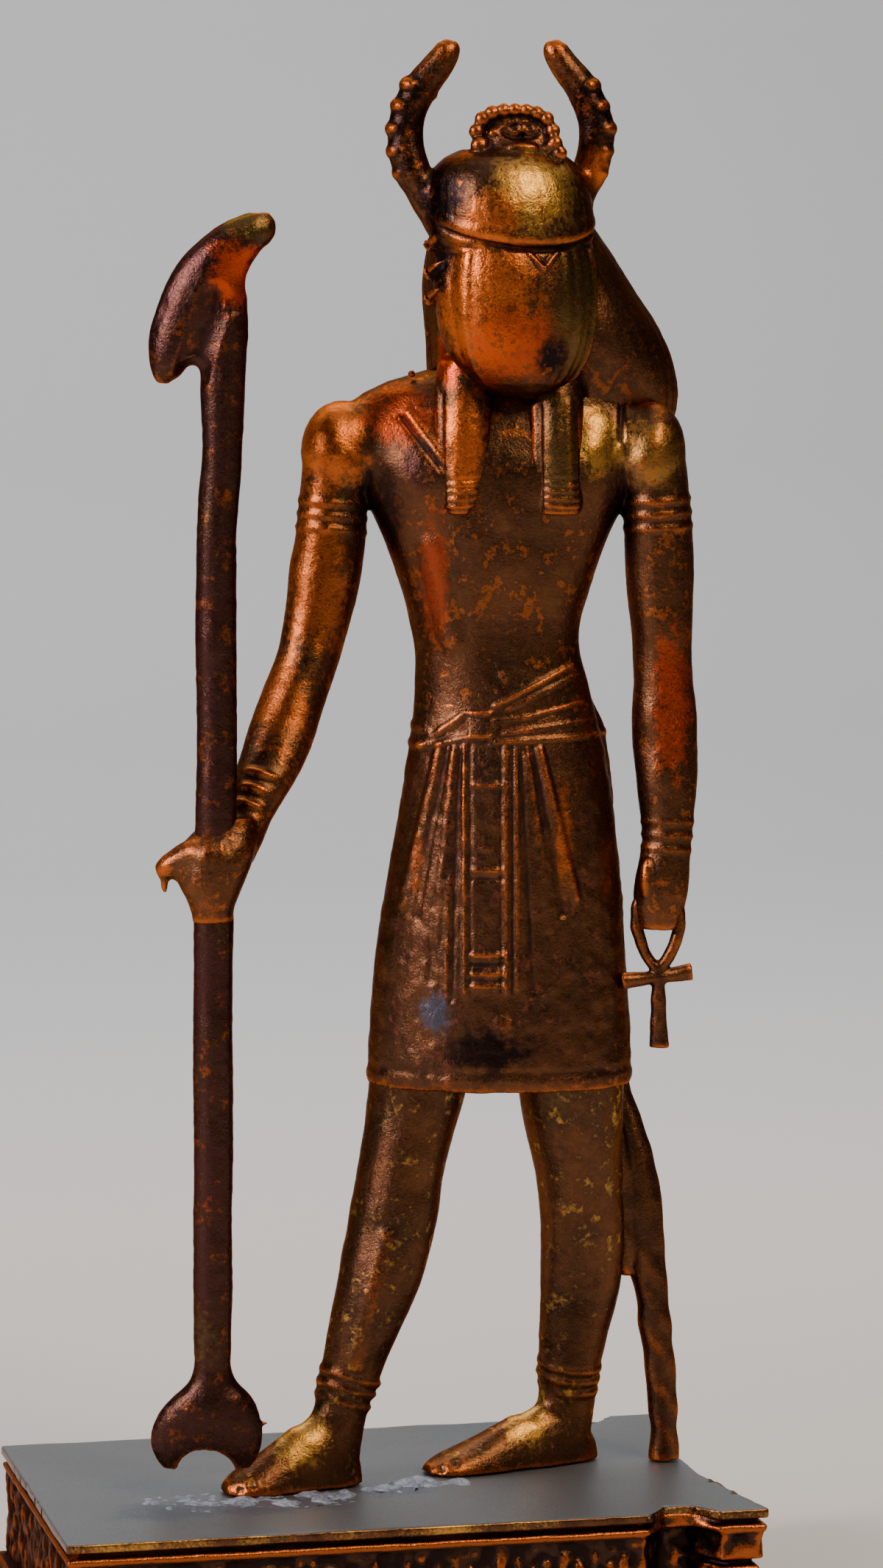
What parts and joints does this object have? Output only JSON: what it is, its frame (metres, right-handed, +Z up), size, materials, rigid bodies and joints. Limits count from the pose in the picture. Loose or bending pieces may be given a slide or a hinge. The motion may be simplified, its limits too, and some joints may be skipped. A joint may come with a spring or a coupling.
{
  "type": "khepri statue",
  "caption": "Small cast figure of a striding Egyptian god with a scarab beetle for a head, holding a forked staff and an ankh, on a notched rectangular plinth.",
  "frame": {"origin": "middle of the plinth's underside", "axes": "+Z up, X along the plinth's long side, -Y the plinth's front; the figure's chest is turned 12.6 degrees from -Y towards -X"},
  "size_m": [0.0488, 0.0312, 0.1071],
  "materials": {
    "figure": "copper-plated casting with a worn dark patina, satin to bright on the high places",
    "plinth": "the same plated casting, dulled grey on top and rubbed bright along the edges"
  },
  "bodies": {
    "root": {"khepri_figure": "figure", "plinth": "plinth"}
  },
  "joints": []
}
